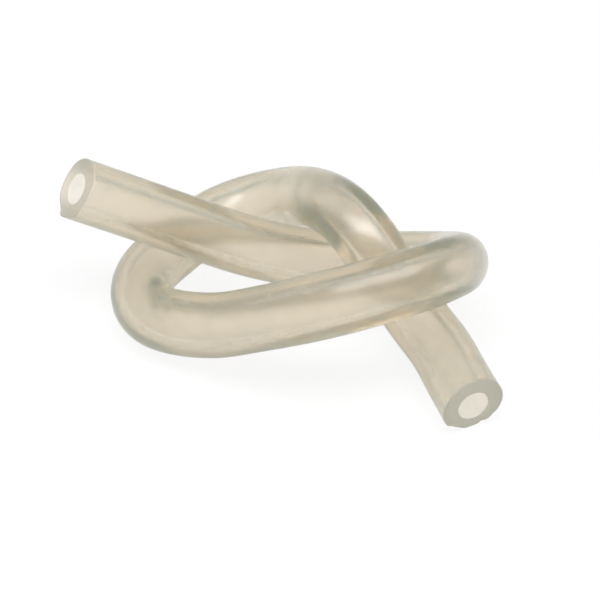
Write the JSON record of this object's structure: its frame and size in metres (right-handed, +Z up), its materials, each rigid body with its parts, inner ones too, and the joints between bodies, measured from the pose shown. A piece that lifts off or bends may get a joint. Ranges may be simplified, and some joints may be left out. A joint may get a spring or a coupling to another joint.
{
  "type": "knotted silicone tube",
  "caption": "Short length of translucent silicone tube with a round bore right through it, tied in a loose overhand knot and lying flat; its open ends push onto hose barbs.",
  "frame": {"origin": "centre of the knot's plan outline, on the table it lies on", "axes": "+X along the knot's longest side, towards the right bight; +Y towards the back loop; +Z up"},
  "size_m": [0.083, 0.0682, 0.0327],
  "materials": {
    "silicone": "smooth satin, milky translucent"
  },
  "bodies": {
    "root": {"tube": "silicone"}
  },
  "joints": []
}
